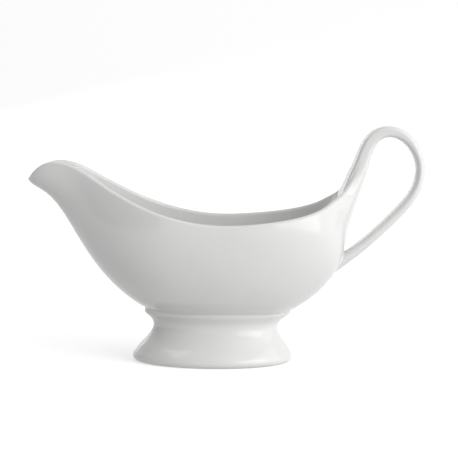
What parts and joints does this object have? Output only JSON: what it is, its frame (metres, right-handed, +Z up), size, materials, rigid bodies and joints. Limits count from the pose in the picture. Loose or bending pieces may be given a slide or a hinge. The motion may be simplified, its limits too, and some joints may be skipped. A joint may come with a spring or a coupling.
{
  "type": "gravy boat",
  "caption": "White porcelain gravy boat with a long curled spout, an oval pedestal foot and a high looped strap handle.",
  "frame": {"origin": "under the middle of the boat's outline, on the plane the foot stands on", "axes": "+X from the spout to the handle, +Y across the boat, +Z up"},
  "size_m": [0.2366, 0.0958, 0.1417],
  "materials": {
    "glazed_bowl": "glossy white glaze over white porcelain, inside and outside",
    "glazed_foot": "glossy white glaze, wiped bare and sanded on the ring it stands on",
    "glazed_handle": "glossy white glaze all round"
  },
  "bodies": {
    "root": {"bowl": "glazed_bowl", "pedestal_foot": "glazed_foot", "handle": "glazed_handle"}
  },
  "joints": []
}
